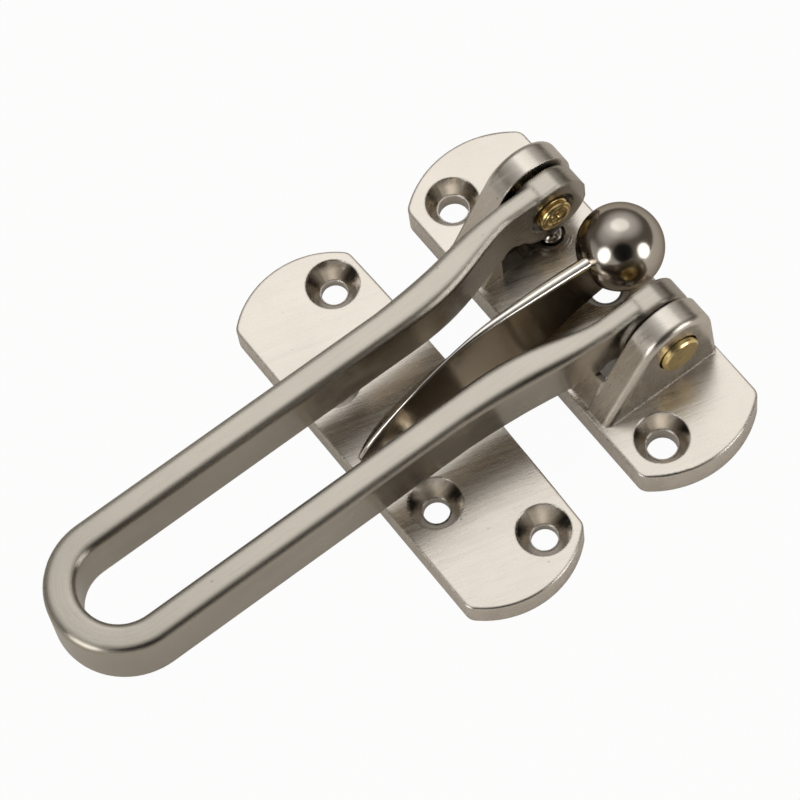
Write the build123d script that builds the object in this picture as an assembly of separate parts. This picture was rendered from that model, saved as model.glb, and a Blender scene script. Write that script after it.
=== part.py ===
from build123d import *
import math
import os

# Swing-bar door guard in its closed position, as two interlocked halves.
# The hinge half has a plate with two ears and a U-shaped bar that swings on two pins.
# The strike half has a plate with a horn that ends in a ball, held between the bar's arms.
# X runs from the strike half to the hinge half, Y runs across, Z points out of the door.
# The origin is the middle of the hinge plate's back face. Sizes are millimetres and degrees.

# Edges and corners of both plates
PLATE_EDGE_ROUND = 0.4
PLATE_CORNER_ROUND = 2.2

# Driving dimensions of the hinge plate
HINGE_THICKNESS = 5.4
HINGE_WIDTH = 23.75
HINGE_LENGTH = 71.0
HINGE_END_RADIUS = 17.3

# Driving dimensions of the strike plate
STRIKE_THICKNESS = 4.7
STRIKE_WIDTH = 23.0
STRIKE_LENGTH = 72.3
STRIKE_END_RADIUS = 15.7
STRIKE_SIDE_BOW = 0.6
PLATE_GAP = 11.1

# Countersunk screw holes
SCREW_HEAD_DIAMETER = 9.0
HINGE_CONE_DEPTH = 2.7
HINGE_CONE_END_DIAMETER = 5.5
HINGE_HOLE_DIAMETER = 5.0
STRIKE_CONE_DEPTH = 3.1
STRIKE_CONE_END_DIAMETER = 4.75
STRIKE_HOLE_DIAMETER = 4.35
HINGE_PAIR_X = -5.0
HINGE_PAIR_SPACING = 54.9
HINGE_MIDDLE_HOLE_X = 5.2
STRIKE_OUTER_INSET = 5.6
STRIKE_OUTER_SPACING = 56.0
STRIKE_INNER_INSET = 16.1
STRIKE_INNER_SPACING = 27.2

# Pivot axis, ears, rests and pockets of the hinge plate
PIVOT_X = 3.66
PIVOT_Z = 14.7
EAR_OUTER_Y = 20.9
EAR_THICKNESS = 4.7
EAR_TOP_RADIUS = 7.3
EAR_FRONT_INSET = 0.75
EAR_BACK_INSET = 0.15
EAR_EDGE_ROUND = 1.2
REST_FRONT_INSET = 1.05
REST_LENGTH = 3.9
REST_TOP_LENGTH = 1.0
REST_GAP = 0.05
POCKET_LENGTH = 6.0
POCKET_WIDTH = 4.7

# Pins
PIN_DIAMETER = 6.0
PIN_HEAD_DIAMETER = 6.9
PIN_HEAD_LENGTH = 1.5
PIN_HEAD_PROUD = 0.55
PIN_FACE_DIAMETER = 4.8
PIN_HEAD_GAP = 0.25
PIN_END_PROUD = 1.25
PIN_RUNNING_GAP = 0.05
PIN_GROOVE_DEPTH = 0.25
PIN_GROOVE_WIDTH = 0.28
PIN_CENTRE_RADIUS = 1.0

# Bar
BAR_REACH = 104.26
ARM_WIDTH = 5.2
ARM_HEIGHT = 10.7
ARM_EDGE_ROUND = 1.2
ARM_TOP_DROP = 0.2
SLOT_WIDTH = 13.9
BEND_START = 34.7
BEND_END = 7.7
BEND_TOP_RISE = 0.35
BEND_BOTTOM_RISE = 0.4
# Stations of the bend: how far along, outward and risen it is, and its width as a share
BEND_STATIONS = (
    (0.0, 0.0, 0.0, 1.0),
    (0.185, 0.045, 0.15, 1.07),
    (0.37, 0.16, 0.4, 1.1),
    (0.556, 0.4, 0.75, 1.05),
    (0.72, 0.68, 1.0, 0.915),
    (0.87, 0.9, 1.0, 0.74),
    (1.0, 1.0, 1.0, 0.675),
)
EYE_RADIUS = 6.85
EYE_WIDTH = 4.4
EYE_SIDE_GAP = 0.6
EYE_FLAT_WIDTH = 3.5
EYE_EDGE_ROUND = 1.0
EYE_RECESS_DIAMETER = 8.4
EYE_RECESS_DEPTH = 1.0
NOTCH_RADIUS = 1.7

# Detent under each eye
DETENT_Y = 12.1
PLUNGER_DIAMETER = 4.0
PLUNGER_FLANGE_DIAMETER = 5.4
PLUNGER_FLANGE_HEIGHT = 0.6
PLUNGER_TRAVEL = 0.8
PLUNGER_GUIDE_GAP = 0.05
DETENT_GAP = 0.1
COLLAR_HOLE_DIAMETER = 6.0
COLLAR_RIM_DIAMETER = 6.8
COLLAR_RIM_HEIGHT = 0.45
COLLAR_LIP_DIAMETER = 5.9
COLLAR_LIP_HEIGHT = 0.35
COLLAR_MOUTH_DIAMETER = 4.7
COLLAR_MOUTH_DEPTH = 1.4
COLLAR_GRIP = 1.8
SPRING_WIRE = 0.35
SPRING_RADIUS = 1.9
SPRING_TURNS = 2.5

# Horn and ball
BALL_DIAMETER = 14.4
BALL_X = 8.6
BALL_Z = 13.5
HORN_TIP_INSET = 2.2
HORN_RIDGE_HEIGHT = 13.8
HORN_BASE_WIDTH = 11.2
HORN_CREST_WIDTH = 2.3
HORN_EDGE_WIDTH = 0.7
HORN_CREST_ROUND = 0.6
HORN_NECK_WIDTH = 5.0
HORN_NECK_INSET = 4.8
HORN_NECK_BELLY = 2.4
HORN_SEAT_BELLY = 0.5
HORN_SEAT_DIP = 0.5
HORN_WAIST_SHARE = 0.36
# Stations along the base and the neck: how far along, the crest's height, and the share of
# the base's width, or for the neck how far its wings have risen and how far it has narrowed
HORN_BASE_STATIONS = (
    (0.0, 0.05, 0.1),
    (0.1, 0.22, 0.33),
    (0.28, 0.43, 0.6),
    (0.5, 0.63, 0.78),
    (0.75, 0.81, 0.91),
    (1.0, 0.94, 1.0),
)
HORN_NECK_STATIONS = (
    (0.2, 1.0, 0.1, 0.34),
    (0.4, 0.99, 0.3, 0.62),
    (0.6, 0.96, 0.46, 0.83),
    (0.8, 0.915, 0.59, 0.95),
    (1.0, 0.865, 0.7, 1.0),
)
PEG_DIAMETER = 4.0
PEG_HEAD_DIAMETER = 5.6
PEG_HEAD_DEPTH = 0.9
PEG_INSETS = (5.5, 13.0)

# Sizes and places worked out from the driving dimensions
CUT_MARGIN = 1.0
HINGE_FRONT_X = -HINGE_WIDTH / 2
STRIKE_BACK_X = HINGE_FRONT_X - PLATE_GAP - STRIKE_SIDE_BOW
STRIKE_FRONT_X = STRIKE_BACK_X - STRIKE_WIDTH
STRIKE_MIDDLE_X = (STRIKE_FRONT_X + STRIKE_BACK_X) / 2
FOOT_Z = HINGE_THICKNESS / 2
EAR_INNER_Y = EAR_OUTER_Y - EAR_THICKNESS
EYE_OUTER_Y = EAR_INNER_Y - EYE_SIDE_GAP
EYE_INNER_Y = EYE_OUTER_Y - EYE_WIDTH
ARM_MIDDLE_Y = (SLOT_WIDTH + ARM_WIDTH) / 2
EYE_FLAT_REACH = math.sqrt(EYE_RADIUS**2 - (EYE_FLAT_WIDTH / 2) ** 2)
ARM_TOP_Z = PIVOT_Z + EYE_FLAT_REACH - ARM_TOP_DROP
ARM_BOTTOM_Z = ARM_TOP_Z - ARM_HEIGHT
ROOT_WIDTH = ARM_WIDTH * BEND_STATIONS[-1][-1]
ROOT_MIDDLE_Y = EYE_INNER_Y + ROOT_WIDTH / 2
LOOP_CENTRE_X = PIVOT_X - BAR_REACH + SLOT_WIDTH / 2 + ARM_WIDTH
ROOT_BOTTOM_Z = ARM_BOTTOM_Z + BEND_BOTTOM_RISE
REST_TOP_Z = ROOT_BOTTOM_Z - REST_GAP
REST_BACK_X = HINGE_FRONT_X + REST_FRONT_INSET + REST_LENGTH
PLUNGER_TOP_Z = PIVOT_Z - EYE_RADIUS - DETENT_GAP
COLLAR_BOTTOM_Z = HINGE_THICKNESS - COLLAR_GRIP
FLANGE_BOTTOM_Z = COLLAR_BOTTOM_Z - DETENT_GAP - PLUNGER_FLANGE_HEIGHT
SPRING_SOLID_HEIGHT = (SPRING_TURNS + 1) * SPRING_WIRE
DETENT_FLOOR = FLANGE_BOTTOM_Z - PLUNGER_TRAVEL - SPRING_SOLID_HEIGHT


def across(section, low_y, high_y):
    """Extrude a section drawn in the XZ plane from one Y to another."""
    drawn = Plane(origin=(0, high_y, 0), x_dir=(1, 0, 0), z_dir=(0, -1, 0)) * section
    return extrude(drawn, high_y - low_y)


def turned(points, origin=(0, 0, 0), direction=(0, 0, 1)):
    """Turn a closed (radius, height) outline about a line through the origin given."""
    side = (0, 1, 0) if abs(direction[1]) < abs(direction[2]) else (1, 0, 0)
    plane = Plane(origin=origin, x_dir=side, z_dir=Vector(side).cross(Vector(direction)))
    outline = plane * make_face(Polyline(*points, close=True))
    return revolve(outline, Axis(origin, direction))


def tangent_point(start, centre, radius, side):
    """Touching point of a line from start on a circle; side is +1 left or -1 right of it."""
    along = math.atan2(start[1] - centre[1], start[0] - centre[0])
    reach = math.dist(start, centre)
    angle = along - side * math.acos(radius / reach)
    return (centre[0] + radius * math.cos(angle), centre[1] + radius * math.sin(angle))


def plate(width, length, thickness, end_radius, side_bow):
    """Flat plate with arched ends, rounded corners and a soft top edge."""
    half_width, half_length = width / 2, length / 2
    corner_y = half_length - end_radius + math.sqrt(end_radius**2 - half_width**2)
    left = Line((-half_width, -corner_y), (-half_width, corner_y))
    upper = ThreePointArc((-half_width, corner_y), (0, half_length), (half_width, corner_y))
    if side_bow > 0:
        bowed = (half_width + side_bow, 0)
        right = ThreePointArc((half_width, corner_y), bowed, (half_width, -corner_y))
    else:
        right = Line((half_width, corner_y), (half_width, -corner_y))
    lower = ThreePointArc((half_width, -corner_y), (0, -half_length), (-half_width, -corner_y))
    outline = make_face([left, upper, right, lower])
    outline = fillet(outline.vertices(), PLATE_CORNER_ROUND)
    body = extrude(outline, thickness)
    return fillet(body.faces().sort_by(Axis.Z)[-1].edges(), PLATE_EDGE_ROUND)


def screw_cut(thickness, cone_depth, cone_end_diameter, hole_diameter):
    """Cutter for one countersunk hole, with its mouth at the plate's face."""
    cone_end_z = thickness - cone_depth
    return turned(
        [
            (0, -CUT_MARGIN),
            (hole_diameter / 2, -CUT_MARGIN),
            (hole_diameter / 2, cone_end_z),
            (cone_end_diameter / 2, cone_end_z),
            (SCREW_HEAD_DIAMETER / 2, thickness),
            (SCREW_HEAD_DIAMETER / 2, thickness + CUT_MARGIN),
            (0, thickness + CUT_MARGIN),
        ]
    )


def ear(side):
    """Ear that holds one pin, with a sloping front and a round top about the pin."""
    pivot = (PIVOT_X, PIVOT_Z)
    front = (HINGE_FRONT_X + EAR_FRONT_INSET, HINGE_THICKNESS)
    back = (HINGE_WIDTH / 2 - EAR_BACK_INSET, HINGE_THICKNESS)
    rise = tangent_point(front, pivot, EAR_TOP_RADIUS, 1)
    fall = tangent_point(back, pivot, EAR_TOP_RADIUS, -1)
    section = make_face(
        [
            Line(front, rise),
            ThreePointArc(rise, (PIVOT_X, PIVOT_Z + EAR_TOP_RADIUS), fall),
            Line(fall, back),
            Line(back, (back[0], FOOT_Z)),
            Line((back[0], FOOT_Z), (front[0], FOOT_Z)),
            Line((front[0], FOOT_Z), front),
        ]
    )
    solid = across(section, EAR_INNER_Y, EAR_OUTER_Y)
    rim = solid.faces().sort_by(Axis.Y)[-1].edges().filter_by(
        lambda edge: edge.center().Z > FOOT_Z
    )
    solid = fillet(rim, EAR_EDGE_ROUND)
    return solid if side > 0 else mirror(solid, Plane.XZ)


def rest(side):
    """Block beside an ear that the bar's arm lies on when the guard is closed."""
    front_x = REST_BACK_X - REST_LENGTH
    section = make_face(
        Polyline(
            (front_x, FOOT_Z),
            (front_x, HINGE_THICKNESS),
            (REST_BACK_X - REST_TOP_LENGTH, REST_TOP_Z),
            (REST_BACK_X, REST_TOP_Z),
            (REST_BACK_X, FOOT_Z),
            close=True,
        )
    )
    solid = across(section, EYE_INNER_Y, EAR_INNER_Y)
    return solid if side > 0 else mirror(solid, Plane.XZ)


def hinge_plate():
    """Hinge plate cast with its ears and rests, with all its holes and pockets."""
    body = plate(HINGE_WIDTH, HINGE_LENGTH, HINGE_THICKNESS, HINGE_END_RADIUS, 0)
    screw = screw_cut(
        HINGE_THICKNESS, HINGE_CONE_DEPTH, HINGE_CONE_END_DIAMETER, HINGE_HOLE_DIAMETER
    )
    body -= Pos(HINGE_MIDDLE_HOLE_X, 0, 0) * screw
    pin_bore = [
        (0, EAR_INNER_Y - CUT_MARGIN),
        (PIN_DIAMETER / 2, EAR_INNER_Y - CUT_MARGIN),
        (PIN_DIAMETER / 2, EAR_OUTER_Y - PIN_HEAD_LENGTH),
        (PIN_HEAD_DIAMETER / 2 + PIN_HEAD_GAP, EAR_OUTER_Y - PIN_HEAD_LENGTH),
        (PIN_HEAD_DIAMETER / 2 + PIN_HEAD_GAP, EAR_OUTER_Y + CUT_MARGIN),
        (0, EAR_OUTER_Y + CUT_MARGIN),
    ]
    detent_well = Cylinder(
        COLLAR_HOLE_DIAMETER / 2, HINGE_THICKNESS, align=(Align.CENTER, Align.CENTER, Align.MIN)
    )
    pocket = Box(
        POCKET_LENGTH,
        POCKET_WIDTH,
        REST_TOP_Z + 2 * CUT_MARGIN,
        align=(Align.MIN, Align.MAX, Align.MIN),
    )
    for side in (1, -1):
        body += ear(side) + rest(side)
        body -= turned(pin_bore, (PIVOT_X, 0, PIVOT_Z), (0, side, 0))
        body -= Pos(HINGE_PAIR_X, side * HINGE_PAIR_SPACING / 2, 0) * screw
        body -= Pos(PIVOT_X, side * DETENT_Y, DETENT_FLOOR) * detent_well
        pocket_place = Pos(REST_BACK_X, EAR_INNER_Y, -CUT_MARGIN) * pocket
        body -= pocket_place if side > 0 else mirror(pocket_place, Plane.XZ)
    return body


def pivot_pin(side):
    """Headed brass pin, pressed into an ear; its turned inner end stands past the eye."""
    radius = PIN_DIAMETER / 2
    head_y = EAR_OUTER_Y - PIN_HEAD_LENGTH
    end_y = EYE_INNER_Y - PIN_END_PROUD
    groove_y = EYE_INNER_Y - PIN_GROOVE_WIDTH
    middle = (radius + PIN_CENTRE_RADIUS) / 2
    points = [
        (0, end_y),
        (PIN_CENTRE_RADIUS, end_y),
        (PIN_CENTRE_RADIUS, end_y + PIN_GROOVE_DEPTH),
        (middle, end_y + PIN_GROOVE_DEPTH),
        (middle, end_y),
        (radius - PIN_GROOVE_DEPTH, end_y),
        (radius, end_y + PIN_GROOVE_DEPTH),
        (radius, groove_y - PIN_GROOVE_WIDTH),
        (radius - PIN_GROOVE_DEPTH, groove_y - PIN_GROOVE_WIDTH),
        (radius - PIN_GROOVE_DEPTH, groove_y),
        (radius, groove_y),
        (radius, head_y),
        (PIN_HEAD_DIAMETER / 2, head_y),
        (PIN_HEAD_DIAMETER / 2, EAR_OUTER_Y),
        (PIN_FACE_DIAMETER / 2, EAR_OUTER_Y + PIN_HEAD_PROUD),
        (0, EAR_OUTER_Y + PIN_HEAD_PROUD),
    ]
    return turned(points, (PIVOT_X, 0, PIVOT_Z), (0, side, 0))


def arm_section(x, middle_y, width, bottom_z, top_z, edge_round):
    """Rounded cross-section of an arm, square to X."""
    place = Plane(
        origin=(x, middle_y, (bottom_z + top_z) / 2), x_dir=(0, 1, 0), z_dir=(1, 0, 0)
    )
    return place * RectangleRounded(width, top_z - bottom_z, edge_round)


def arm_bend():
    """Bent root of one arm, from the straight part out to the eye."""
    sections = [
        arm_section(
            PIVOT_X - BEND_START + along * (BEND_START - BEND_END),
            ARM_MIDDLE_Y + outward * (ROOT_MIDDLE_Y - ARM_MIDDLE_Y),
            ARM_WIDTH * width,
            ARM_BOTTOM_Z + risen * BEND_BOTTOM_RISE,
            ARM_TOP_Z + risen * BEND_TOP_RISE,
            ARM_EDGE_ROUND * width,
        )
        for along, outward, risen, width in BEND_STATIONS
    ]
    root = extrude(sections[-1], BEND_END - EYE_FLAT_WIDTH / 2)
    notch_x = PIVOT_X - EYE_RADIUS - NOTCH_RADIUS
    notch = Pos(notch_x, ROOT_MIDDLE_Y, ROOT_BOTTOM_Z) * Rot(90, 0, 0) * Cylinder(
        NOTCH_RADIUS, ROOT_WIDTH + 2 * CUT_MARGIN
    )
    return loft(sections) + root - notch


def eye():
    """Eye at the end of one arm: a disc with three flats that the plunger clicks on to."""
    outline = Circle(EYE_RADIUS)
    beyond = Pos(0, EYE_FLAT_REACH) * Rectangle(
        2 * EYE_RADIUS, EYE_RADIUS, align=(Align.CENTER, Align.MIN)
    )
    for turn in (0, -90, 180):
        outline -= Rot(0, 0, turn) * beyond
    disc = Pos(PIVOT_X, 0, PIVOT_Z) * across(outline, EYE_INNER_Y, EYE_OUTER_Y)
    return fillet(disc.faces().sort_by(Axis.Y)[-1].edges(), EYE_EDGE_ROUND)


def swing_bar():
    """U-shaped bar: two straight arms and a loop, bent apart near the two eyes."""
    start_x = PIVOT_X - BEND_START
    straight = arm_section(
        LOOP_CENTRE_X, ARM_MIDDLE_Y, ARM_WIDTH, ARM_BOTTOM_Z, ARM_TOP_Z, ARM_EDGE_ROUND
    )
    loop = revolve(straight, Axis((LOOP_CENTRE_X, 0, 0), (0, 0, 1)), 180)
    bore = turned(
        [
            (0, EYE_INNER_Y - CUT_MARGIN),
            (EYE_RECESS_DIAMETER / 2, EYE_INNER_Y - CUT_MARGIN),
            (EYE_RECESS_DIAMETER / 2, EYE_INNER_Y + EYE_RECESS_DEPTH),
            (PIN_DIAMETER / 2 + PIN_RUNNING_GAP, EYE_INNER_Y + EYE_RECESS_DEPTH),
            (PIN_DIAMETER / 2 + PIN_RUNNING_GAP, EYE_OUTER_Y + CUT_MARGIN),
            (0, EYE_OUTER_Y + CUT_MARGIN),
        ],
        (PIVOT_X, 0, PIVOT_Z),
        (0, 1, 0),
    )
    arm = extrude(straight, start_x - LOOP_CENTRE_X) + arm_bend() + eye() - bore
    return arm + loop + mirror(arm, Plane.XZ)


def detent_collar(side):
    """Turned collar pressed into the hinge plate round a plunger."""
    rim_z = HINGE_THICKNESS + COLLAR_RIM_HEIGHT
    lip_z = rim_z + COLLAR_LIP_HEIGHT
    guide = PLUNGER_DIAMETER / 2 + PLUNGER_GUIDE_GAP
    points = [
        (guide, COLLAR_BOTTOM_Z),
        (COLLAR_HOLE_DIAMETER / 2, COLLAR_BOTTOM_Z),
        (COLLAR_HOLE_DIAMETER / 2, HINGE_THICKNESS),
        (COLLAR_RIM_DIAMETER / 2, HINGE_THICKNESS),
        (COLLAR_RIM_DIAMETER / 2, rim_z),
        (COLLAR_LIP_DIAMETER / 2, rim_z),
        (COLLAR_LIP_DIAMETER / 2, lip_z),
        (COLLAR_MOUTH_DIAMETER / 2, lip_z),
        (COLLAR_MOUTH_DIAMETER / 2, lip_z - COLLAR_MOUTH_DEPTH),
        (guide, lip_z - COLLAR_MOUTH_DEPTH),
    ]
    return Pos(PIVOT_X, side * DETENT_Y, 0) * turned(points)


def detent_plunger(side):
    """Round-nosed plunger with a flange that the collar holds in."""
    radius = PLUNGER_DIAMETER / 2
    shank = Pos(0, 0, FLANGE_BOTTOM_Z) * Cylinder(
        radius,
        PLUNGER_TOP_Z - radius - FLANGE_BOTTOM_Z,
        align=(Align.CENTER, Align.CENTER, Align.MIN),
    )
    flange = Pos(0, 0, FLANGE_BOTTOM_Z) * Cylinder(
        PLUNGER_FLANGE_DIAMETER / 2,
        PLUNGER_FLANGE_HEIGHT,
        align=(Align.CENTER, Align.CENTER, Align.MIN),
    )
    nose = Pos(0, 0, PLUNGER_TOP_Z - radius) * Sphere(radius)
    return Pos(PIVOT_X, side * DETENT_Y, 0) * (shank + flange + nose)


def detent_spring(side):
    """Short coil spring between the floor of the well and the plunger."""
    height = FLANGE_BOTTOM_Z - DETENT_FLOOR - SPRING_WIRE
    path = Helix(height / SPRING_TURNS, height, SPRING_RADIUS)
    wire = sweep(Plane(origin=path @ 0, z_dir=path % 0) * Circle(SPRING_WIRE / 2), path)
    return Pos(PIVOT_X, side * DETENT_Y, DETENT_FLOOR + SPRING_WIRE / 2) * wire


def horn_section(x, crest_z, crest_width, wing_z, wing_width, belly_depth):
    """Cross-section of the horn: a narrow round crest, hollow flanks, wings and a belly."""
    crest, wing = crest_width / 2, wing_width / 2
    waist_y = crest + (wing - crest) * HORN_WAIST_SHARE
    waist_z = (crest_z + wing_z) / 2
    place = Plane(origin=(x, 0, 0), x_dir=(0, 1, 0), z_dir=(1, 0, 0))
    side_z = crest_z - crest * HORN_CREST_ROUND
    edges = [
        ThreePointArc((-crest, side_z), (0, crest_z), (crest, side_z)),
        ThreePointArc((crest, side_z), (waist_y, waist_z), (wing, wing_z)),
        ThreePointArc((wing, wing_z), (0, wing_z - belly_depth), (-wing, wing_z)),
        ThreePointArc((-wing, wing_z), (-waist_y, waist_z), (-crest, side_z)),
    ]
    return place * make_face(edges)


def ball_horn():
    """Polished horn with its ball, riveted to the strike plate by two pegs."""
    seat = STRIKE_THICKNESS
    tip_x = STRIKE_FRONT_X + HORN_TIP_INSET
    neck_x = BALL_X - HORN_NECK_INSET
    sections = [
        horn_section(
            tip_x + along * (STRIKE_BACK_X - tip_x),
            seat + HORN_RIDGE_HEIGHT * height,
            HORN_EDGE_WIDTH,
            seat - HORN_SEAT_DIP,
            HORN_BASE_WIDTH * width + HORN_SEAT_DIP,
            HORN_SEAT_BELLY,
        )
        for along, height, width in HORN_BASE_STATIONS
    ]
    sections += [
        horn_section(
            STRIKE_BACK_X + along * (neck_x - STRIKE_BACK_X),
            seat + HORN_RIDGE_HEIGHT * height,
            HORN_EDGE_WIDTH + narrowing * (HORN_CREST_WIDTH - HORN_EDGE_WIDTH),
            seat - HORN_SEAT_DIP + lift * (BALL_Z + HORN_SEAT_DIP - seat),
            HORN_BASE_WIDTH + HORN_SEAT_DIP + narrowing * (HORN_NECK_WIDTH - HORN_BASE_WIDTH),
            HORN_SEAT_BELLY + lift * HORN_NECK_BELLY,
        )
        for along, height, lift, narrowing in HORN_NECK_STATIONS
    ]
    horn = loft(sections)
    under_plate = Pos(STRIKE_MIDDLE_X, 0, seat) * Box(
        STRIKE_WIDTH + 2 * STRIKE_SIDE_BOW,
        STRIKE_LENGTH,
        seat,
        align=(Align.CENTER, Align.CENTER, Align.MAX),
    )
    horn -= under_plate
    for inset in PEG_INSETS:
        horn += Pos(STRIKE_BACK_X - inset, 0, 0) * peg()
    return horn + Pos(BALL_X, 0, BALL_Z) * Sphere(BALL_DIAMETER / 2)


def peg():
    """Peg under the horn, spread into a cone at the plate's back."""
    return turned(
        [
            (0, 0),
            (PEG_HEAD_DIAMETER / 2, 0),
            (PEG_DIAMETER / 2, PEG_HEAD_DEPTH),
            (PEG_DIAMETER / 2, STRIKE_THICKNESS),
            (0, STRIKE_THICKNESS),
        ]
    )


def strike_plate():
    """Strike plate with four screw holes and the two holes for the horn's pegs."""
    body = plate(
        STRIKE_WIDTH, STRIKE_LENGTH, STRIKE_THICKNESS, STRIKE_END_RADIUS, STRIKE_SIDE_BOW
    )
    body = Pos(STRIKE_MIDDLE_X, 0, 0) * body
    screw = screw_cut(
        STRIKE_THICKNESS, STRIKE_CONE_DEPTH, STRIKE_CONE_END_DIAMETER, STRIKE_HOLE_DIAMETER
    )
    for side in (1, -1):
        outer = (STRIKE_BACK_X - STRIKE_OUTER_INSET, side * STRIKE_OUTER_SPACING / 2)
        inner = (STRIKE_BACK_X - STRIKE_INNER_INSET, side * STRIKE_INNER_SPACING / 2)
        body -= Pos(*outer, 0) * screw
        body -= Pos(*inner, 0) * screw
    for inset in PEG_INSETS:
        body -= Pos(STRIKE_BACK_X - inset, 0, 0) * peg()
    return body


def build_parts():
    """Make every node of the guard, in its place."""
    parts = {
        "hinge_plate": hinge_plate(),
        "swing_bar": swing_bar(),
        "strike_plate": strike_plate(),
        "ball_horn": ball_horn(),
    }
    for side, name in ((1, "left"), (-1, "right")):
        parts[f"pivot_pin_{name}"] = pivot_pin(side)
        parts[f"detent_collar_{name}"] = detent_collar(side)
        parts[f"detent_plunger_{name}"] = detent_plunger(side)
        parts[f"detent_spring_{name}"] = detent_spring(side)
    return parts


os.makedirs("parts", exist_ok=True)
for node_name, node_solid in build_parts().items():
    export_step(node_solid, f"parts/{node_name}.step")
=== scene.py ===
import logging
import math
from collections.abc import Callable
from dataclasses import dataclass
from enum import Enum

import bmesh
import bpy
from mathutils import Matrix, Vector


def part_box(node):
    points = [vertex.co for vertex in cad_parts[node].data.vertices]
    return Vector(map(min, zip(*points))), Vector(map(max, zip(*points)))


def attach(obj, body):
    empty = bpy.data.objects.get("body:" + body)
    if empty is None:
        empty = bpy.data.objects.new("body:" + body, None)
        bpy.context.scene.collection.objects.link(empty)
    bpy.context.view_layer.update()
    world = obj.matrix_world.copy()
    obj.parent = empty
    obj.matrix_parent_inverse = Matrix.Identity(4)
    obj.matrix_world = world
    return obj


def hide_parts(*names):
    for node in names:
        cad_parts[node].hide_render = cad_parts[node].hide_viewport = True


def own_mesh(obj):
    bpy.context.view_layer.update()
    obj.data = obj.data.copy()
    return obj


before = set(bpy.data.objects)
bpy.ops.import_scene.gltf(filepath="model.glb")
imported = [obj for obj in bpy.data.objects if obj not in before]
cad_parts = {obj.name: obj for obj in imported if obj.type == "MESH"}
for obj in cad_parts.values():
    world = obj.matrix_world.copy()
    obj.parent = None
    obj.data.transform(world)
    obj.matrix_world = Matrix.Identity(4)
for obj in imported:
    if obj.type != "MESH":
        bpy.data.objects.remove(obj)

logging.basicConfig(level=logging.INFO, format="%(message)s")
LOG = logging.getLogger("door_guard")

MM = 0.001
SHARP_ANGLE = math.radians(38.0)

Colour = tuple[float, float, float, float]
Point = tuple[float, float, float]
Span = tuple[float, float]
Socket = bpy.types.NodeSocket
Sockets = bpy.types.NodeOutputs

NOISE_SPAN: Span = (0.3, 0.7)


def grey(level: float) -> Colour:
    """A neutral colour of that level."""
    return (level, level, level, 1.0)


def scaled(colour: Colour, factor: float) -> Colour:
    """A colour made darker or brighter by a factor."""
    return (*(min(1.0, factor * part) for part in colour[:3]), 1.0)


class Slot(Enum):
    """The record's material slots."""

    SATIN = "satin_nickel"
    POLISHED = "polished_nickel"
    BRASS = "turned_brass"
    TURNED = "turned_steel"
    BRIGHT = "bright_steel"
    SPRING = "spring_steel"


class Side(Enum):
    """The guard's two sides, with the sign of Y there."""

    LEFT = 1.0
    RIGHT = -1.0

    @property
    def label(self) -> str:
        """The side as the CAD nodes' names give it."""
        return self.name.lower()


class Family(Enum):
    """Families of node tree."""

    SHADER = "ShaderNodeTree"
    GEOMETRY = "GeometryNodeTree"


class Kind(Enum):
    """Types of node group socket."""

    NUMBER = "NodeSocketFloat"
    WHOLE = "NodeSocketInt"
    VECTOR = "NodeSocketVector"
    GEOMETRY = "NodeSocketGeometry"
    MATERIAL = "NodeSocketMaterial"


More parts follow.
